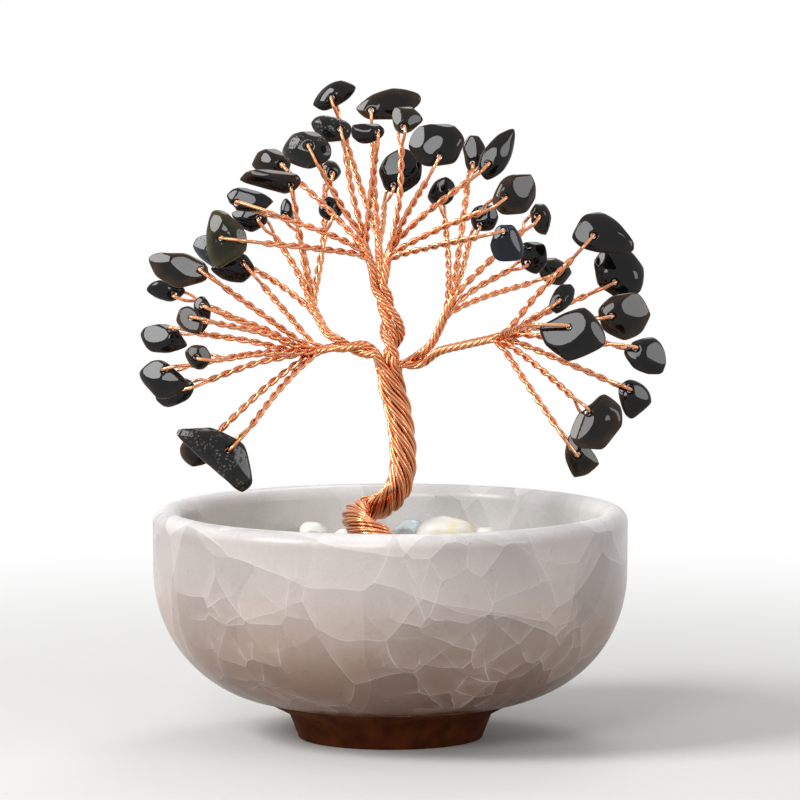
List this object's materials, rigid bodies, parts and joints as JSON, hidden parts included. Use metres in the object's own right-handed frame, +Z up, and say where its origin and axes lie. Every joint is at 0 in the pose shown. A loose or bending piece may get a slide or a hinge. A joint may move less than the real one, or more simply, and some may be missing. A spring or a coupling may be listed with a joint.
{
  "type": "gemstone tree ornament",
  "caption": "Twisted copper wire tree with drilled obsidian chips on wire eyes, standing in a gravel-filled, crackle-glazed bowl; each chip turns a little on its wire.",
  "frame": {"origin": "centre of the bowl's foot ring, on the plane that it rests on", "axes": "+X to the viewer's right, +Y away from the viewer, +Z up along the bowl's axis"},
  "size_m": [0.0758, 0.068, 0.094],
  "materials": {
    "glaze": "gloss crackle",
    "bed": "matt cast",
    "white_stone": "tumbled",
    "clear_stone": "polished",
    "copper": "polished wire",
    "obsidian": "polished"
  },
  "bodies": {
    "planter": {"bowl": "glaze", "bedding": "bed", "white_gravel": "white_stone", "clear_gravel": "clear_stone", "left_lower_bundle": "copper", "left_upper_bundle": "copper", "crown_right_bundle": "copper", "right_lower_bundle": "copper", "right_upper_bundle": "copper", "crown_left_bundle": "copper", "crown_rear_bundle": "copper", "left_twigs": "copper", "crown_twigs": "copper", "right_twigs": "copper"},
    "chip_left_lower_1": {"chip_left_lower_1": "obsidian"},
    "chip_left_lower_2": {"chip_left_lower_2": "obsidian"},
    "chip_left_lower_3": {"chip_left_lower_3": "obsidian"},
    "chip_left_lower_4": {"chip_left_lower_4": "obsidian"},
    "chip_left_lower_5": {"chip_left_lower_5": "obsidian"},
    "chip_left_lower_6": {"chip_left_lower_6": "obsidian"},
    "chip_left_lower_7": {"chip_left_lower_7": "obsidian"},
    "chip_left_lower_8": {"chip_left_lower_8": "obsidian"},
    "chip_left_lower_9": {"chip_left_lower_9": "obsidian"},
    "chip_left_lower_10": {"chip_left_lower_10": "obsidian"},
    "chip_left_lower_11": {"chip_left_lower_11": "obsidian"},
    "chip_left_upper_1": {"chip_left_upper_1": "obsidian"},
    "chip_left_upper_2": {"chip_left_upper_2": "obsidian"},
    "chip_left_upper_3": {"chip_left_upper_3": "obsidian"},
    "chip_left_upper_4": {"chip_left_upper_4": "obsidian"},
    "chip_left_upper_5": {"chip_left_upper_5": "obsidian"},
    "chip_left_upper_6": {"chip_left_upper_6": "obsidian"},
    "chip_crown_left_1": {"chip_crown_left_1": "obsidian"},
    "chip_crown_left_2": {"chip_crown_left_2": "obsidian"},
    "chip_crown_left_3": {"chip_crown_left_3": "obsidian"},
    "chip_crown_left_4": {"chip_crown_left_4": "obsidian"},
    "chip_crown_left_5": {"chip_crown_left_5": "obsidian"},
    "chip_crown_left_6": {"chip_crown_left_6": "obsidian"},
    "chip_crown_rear_1": {"chip_crown_rear_1": "obsidian"},
    "chip_crown_rear_2": {"chip_crown_rear_2": "obsidian"},
    "chip_crown_rear_3": {"chip_crown_rear_3": "obsidian"},
    "chip_crown_right_1": {"chip_crown_right_1": "obsidian"},
    "chip_crown_right_2": {"chip_crown_right_2": "obsidian"},
    "chip_crown_right_3": {"chip_crown_right_3": "obsidian"},
    "chip_crown_right_4": {"chip_crown_right_4": "obsidian"},
    "chip_crown_right_5": {"chip_crown_right_5": "obsidian"},
    "chip_right_upper_1": {"chip_right_upper_1": "obsidian"},
    "chip_right_upper_2": {"chip_right_upper_2": "obsidian"},
    "chip_right_upper_3": {"chip_right_upper_3": "obsidian"},
    "chip_right_upper_4": {"chip_right_upper_4": "obsidian"},
    "chip_right_upper_5": {"chip_right_upper_5": "obsidian"},
    "chip_right_upper_6": {"chip_right_upper_6": "obsidian"},
    "chip_right_lower_1": {"chip_right_lower_1": "obsidian"},
    "chip_right_lower_2": {"chip_right_lower_2": "obsidian"},
    "chip_right_lower_3": {"chip_right_lower_3": "obsidian"},
    "chip_right_lower_4": {"chip_right_lower_4": "obsidian"},
    "chip_right_lower_5": {"chip_right_lower_5": "obsidian"},
    "chip_right_lower_6": {"chip_right_lower_6": "obsidian"},
    "chip_right_lower_7": {"chip_right_lower_7": "obsidian"},
    "chip_right_lower_8": {"chip_right_lower_8": "obsidian"},
    "chip_right_lower_9": {"chip_right_lower_9": "obsidian"}
  },
  "joints": [
    {"name": "chip_left_lower_1_turn", "type": "hinge", "parent": "planter", "child": "chip_left_lower_1", "pos_m": [-0.02296, -0.01546, 0.04283], "axis": [0.2382, -0.9556, 0.1736], "range_deg": [-12, 12]},
    {"name": "chip_left_lower_2_turn", "type": "hinge", "parent": "planter", "child": "chip_left_lower_2", "pos_m": [-0.02698, -0.00625, 0.04249], "axis": [-0.1384, -0.9848, -0.1045], "range_deg": [-12, 12]},
    {"name": "chip_left_lower_3_turn", "type": "hinge", "parent": "planter", "child": "chip_left_lower_3", "pos_m": [-0.02945, 0.00015, 0.05044], "axis": [-0.2366, -0.9491, -0.2079], "range_deg": [-12, 12]},
    {"name": "chip_left_lower_4_turn", "type": "hinge", "parent": "planter", "child": "chip_left_lower_4", "pos_m": [-0.03184, -0.00814, 0.05342], "axis": [-0.3043, -0.9366, 0.1736], "range_deg": [-12, 12]},
    {"name": "chip_left_lower_5_turn", "type": "hinge", "parent": "planter", "child": "chip_left_lower_5", "pos_m": [-0.02729, -0.01557, 0.0562], "axis": [0.172, -0.9752, -0.1392], "range_deg": [-12, 12]},
    {"name": "chip_left_lower_6_turn", "type": "hinge", "parent": "planter", "child": "chip_left_lower_6", "pos_m": [-0.03114, -0.00275, 0.05875], "axis": [-0.1999, -0.9403, 0.2756], "range_deg": [-12, 12]},
    {"name": "chip_left_lower_7_turn", "type": "hinge", "parent": "planter", "child": "chip_left_lower_7", "pos_m": [-0.02801, -0.01242, 0.06126], "axis": [-0.1022, -0.9728, 0.2079], "range_deg": [-12, 12]},
    {"name": "chip_left_lower_8_turn", "type": "hinge", "parent": "planter", "child": "chip_left_lower_8", "pos_m": [-0.02665, -0.00715, 0.06265], "axis": [0.1392, -0.9903, 0], "range_deg": [-12, 12]},
    {"name": "chip_left_lower_9_turn", "type": "hinge", "parent": "planter", "child": "chip_left_lower_9", "pos_m": [-0.031, 0.00647, 0.06335], "axis": [-0.171, -0.9698, -0.1736], "range_deg": [-12, 12]},
    {"name": "chip_left_lower_10_turn", "type": "hinge", "parent": "planter", "child": "chip_left_lower_10", "pos_m": [-0.02683, -0.0048, 0.06752], "axis": [-0.172, -0.9752, 0.1392], "range_deg": [-12, 12]},
    {"name": "chip_left_lower_11_turn", "type": "hinge", "parent": "planter", "child": "chip_left_lower_11", "pos_m": [-0.0212, 0.00241, 0.06809], "axis": [0.2059, -0.9686, -0.1392], "range_deg": [-12, 12]},
    {"name": "chip_left_upper_1_turn", "type": "hinge", "parent": "planter", "child": "chip_left_upper_1", "pos_m": [-0.02493, 0.00857, 0.06945], "axis": [-0.2419, -0.9703, 0], "range_deg": [-12, 12]},
    {"name": "chip_left_upper_2_turn", "type": "hinge", "parent": "planter", "child": "chip_left_upper_2", "pos_m": [-0.01882, 0.00438, 0.07446], "axis": [-0.1022, -0.9728, -0.2079], "range_deg": [-12, 12]},
    {"name": "chip_left_upper_3_turn", "type": "hinge", "parent": "planter", "child": "chip_left_upper_3", "pos_m": [-0.015, 0.0126, 0.07421], "axis": [-0.342, -0.9397, 0], "range_deg": [-12, 12]},
    {"name": "chip_left_upper_4_turn", "type": "hinge", "parent": "planter", "child": "chip_left_upper_4", "pos_m": [-0.01411, -0.00207, 0.07947], "axis": [0, -0.9613, -0.2756], "range_deg": [-12, 12]},
    {"name": "chip_left_upper_5_turn", "type": "hinge", "parent": "planter", "child": "chip_left_upper_5", "pos_m": [-0.00848, 0.00796, 0.07467], "axis": [0.1736, -0.9848, 0], "range_deg": [-12, 12]},
    {"name": "chip_left_upper_6_turn", "type": "hinge", "parent": "planter", "child": "chip_left_upper_6", "pos_m": [-0.00871, 0.018, 0.07979], "axis": [0.273, -0.9519, 0.1392], "range_deg": [-12, 12]},
    {"name": "chip_crown_left_1_turn", "type": "hinge", "parent": "planter", "child": "chip_crown_left_1", "pos_m": [-0.02377, -0.00898, 0.07226], "axis": [-0.1384, -0.9848, 0.1045], "range_deg": [-12, 12]},
    {"name": "chip_crown_left_2_turn", "type": "hinge", "parent": "planter", "child": "chip_crown_left_2", "pos_m": [-0.02172, -0.00613, 0.077], "axis": [-0.0677, -0.9679, 0.2419], "range_deg": [-12, 12]},
    {"name": "chip_crown_left_3_turn", "type": "hinge", "parent": "planter", "child": "chip_crown_left_3", "pos_m": [-0.01538, 0.00553, 0.08166], "axis": [-0.2017, -0.9491, 0.2419], "range_deg": [-12, 12]},
    {"name": "chip_crown_left_4_turn", "type": "hinge", "parent": "planter", "child": "chip_crown_left_4", "pos_m": [-0.01138, -0.00481, 0.08503], "axis": [-0.171, -0.9698, 0.1736], "range_deg": [-12, 12]},
    {"name": "chip_crown_left_5_turn", "type": "hinge", "parent": "planter", "child": "chip_crown_left_5", "pos_m": [-0.00716, -0.0009, 0.08709], "axis": [0, -0.9511, 0.309], "range_deg": [-12, 12]},
    {"name": "chip_crown_left_6_turn", "type": "hinge", "parent": "planter", "child": "chip_crown_left_6", "pos_m": [-0.00186, -0.01031, 0.08745], "axis": [0.1035, -0.9848, -0.1392], "range_deg": [-12, 12]},
    {"name": "chip_crown_rear_1_turn", "type": "hinge", "parent": "planter", "child": "chip_crown_rear_1", "pos_m": [-0.0083, 0.0087, 0.09114], "axis": [-0.1699, -0.9633, 0.2079], "range_deg": [-12, 12]},
    {"name": "chip_crown_rear_2_turn", "type": "hinge", "parent": "planter", "child": "chip_crown_rear_2", "pos_m": [-0.00279, 0.00545, 0.08955], "axis": [0, -0.9903, 0.1392], "range_deg": [-12, 12]},
    {"name": "chip_crown_rear_3_turn", "type": "hinge", "parent": "planter", "child": "chip_crown_rear_3", "pos_m": [0.0003, 0.01188, 0.07861], "axis": [0.1384, -0.9848, -0.1045], "range_deg": [-12, 12]},
    {"name": "chip_crown_right_1_turn", "type": "hinge", "parent": "planter", "child": "chip_crown_right_1", "pos_m": [0.00162, -0.0009, 0.08755], "axis": [0.2382, -0.9556, 0.1736], "range_deg": [-12, 12]},
    {"name": "chip_crown_right_2_turn", "type": "hinge", "parent": "planter", "child": "chip_crown_right_2", "pos_m": [0.00688, -0.00794, 0.08365], "axis": [0.0687, -0.9824, 0.1736], "range_deg": [-12, 12]},
    {"name": "chip_crown_right_3_turn", "type": "hinge", "parent": "planter", "child": "chip_crown_right_3", "pos_m": [0.01358, -0.00286, 0.08249], "axis": [0.2741, -0.956, 0.1045], "range_deg": [-12, 12]},
    {"name": "chip_crown_right_4_turn", "type": "hinge", "parent": "planter", "child": "chip_crown_right_4", "pos_m": [0.01586, -0.00791, 0.07813], "axis": [0.309, -0.9511, 0], "range_deg": [-12, 12]},
    {"name": "chip_crown_right_5_turn", "type": "hinge", "parent": "planter", "child": "chip_crown_right_5", "pos_m": [0.01581, -0.0124, 0.0735], "axis": [0.104, -0.9891, 0.1045], "range_deg": [-12, 12]},
    {"name": "chip_right_upper_1_turn", "type": "hinge", "parent": "planter", "child": "chip_right_upper_1", "pos_m": [0.01169, 0.00755, 0.08188], "axis": [0.1045, -0.9945, 0], "range_deg": [-12, 12]},
    {"name": "chip_right_upper_2_turn", "type": "hinge", "parent": "planter", "child": "chip_right_upper_2", "pos_m": [0.0073, 0.01279, 0.07622], "axis": [-0.1384, -0.9848, -0.1045], "range_deg": [-12, 12]},
    {"name": "chip_right_upper_3_turn", "type": "hinge", "parent": "planter", "child": "chip_right_upper_3", "pos_m": [0.01272, 0.00859, 0.07308], "axis": [0.1035, -0.9848, -0.1392], "range_deg": [-12, 12]},
    {"name": "chip_right_upper_4_turn", "type": "hinge", "parent": "planter", "child": "chip_right_upper_4", "pos_m": [0.02068, -0.00003, 0.0749], "axis": [0.4067, -0.9135, 0], "range_deg": [-12, 12]},
    {"name": "chip_right_upper_5_turn", "type": "hinge", "parent": "planter", "child": "chip_right_upper_5", "pos_m": [0.0196, 0.00502, 0.06792], "axis": [0.0687, -0.9824, -0.1736], "range_deg": [-12, 12]},
    {"name": "chip_right_upper_6_turn", "type": "hinge", "parent": "planter", "child": "chip_right_upper_6", "pos_m": [0.02345, 0.01209, 0.0655], "axis": [0.3368, -0.9254, 0.1736], "range_deg": [-12, 12]},
    {"name": "chip_right_lower_1_turn", "type": "hinge", "parent": "planter", "child": "chip_right_lower_1", "pos_m": [0.02878, 0.0003, 0.07185], "axis": [0.135, -0.9609, 0.2419], "range_deg": [-12, 12]},
    {"name": "chip_right_lower_2_turn", "type": "hinge", "parent": "planter", "child": "chip_right_lower_2", "pos_m": [0.03202, 0.00674, 0.06479], "axis": [0.2059, -0.9686, 0.1392], "range_deg": [-12, 12]},
    {"name": "chip_right_lower_3_turn", "type": "hinge", "parent": "planter", "child": "chip_right_lower_3", "pos_m": [0.03134, 0.00044, 0.06052], "axis": [0.2413, -0.9679, 0.0698], "range_deg": [-12, 12]},
    {"name": "chip_right_lower_4_turn", "type": "hinge", "parent": "planter", "child": "chip_right_lower_4", "pos_m": [0.0237, -0.00319, 0.06286], "axis": [0.3288, -0.9033, 0.2756], "range_deg": [-12, 12]},
    {"name": "chip_right_lower_5_turn", "type": "hinge", "parent": "planter", "child": "chip_right_lower_5", "pos_m": [0.02502, -0.01319, 0.06003], "axis": [0.0341, -0.9776, 0.2079], "range_deg": [-12, 12]},
    {"name": "chip_right_lower_6_turn", "type": "hinge", "parent": "planter", "child": "chip_right_lower_6", "pos_m": [0.03453, -0.00706, 0.05645], "axis": [0.2382, -0.9556, 0.1736], "range_deg": [-12, 12]},
    {"name": "chip_right_lower_7_turn", "type": "hinge", "parent": "planter", "child": "chip_right_lower_7", "pos_m": [0.03391, -0.00131, 0.05009], "axis": [0.275, -0.9589, 0.0698], "range_deg": [-12, 12]},
    {"name": "chip_right_lower_8_turn", "type": "hinge", "parent": "planter", "child": "chip_right_lower_8", "pos_m": [0.02768, -0.01218, 0.04775], "axis": [0.1685, -0.9556, 0.2419], "range_deg": [-12, 12]},
    {"name": "chip_right_lower_9_turn", "type": "hinge", "parent": "planter", "child": "chip_right_lower_9", "pos_m": [0.02655, -0.0052, 0.04131], "axis": [0.0687, -0.9824, -0.1736], "range_deg": [-12, 12]}
  ]
}
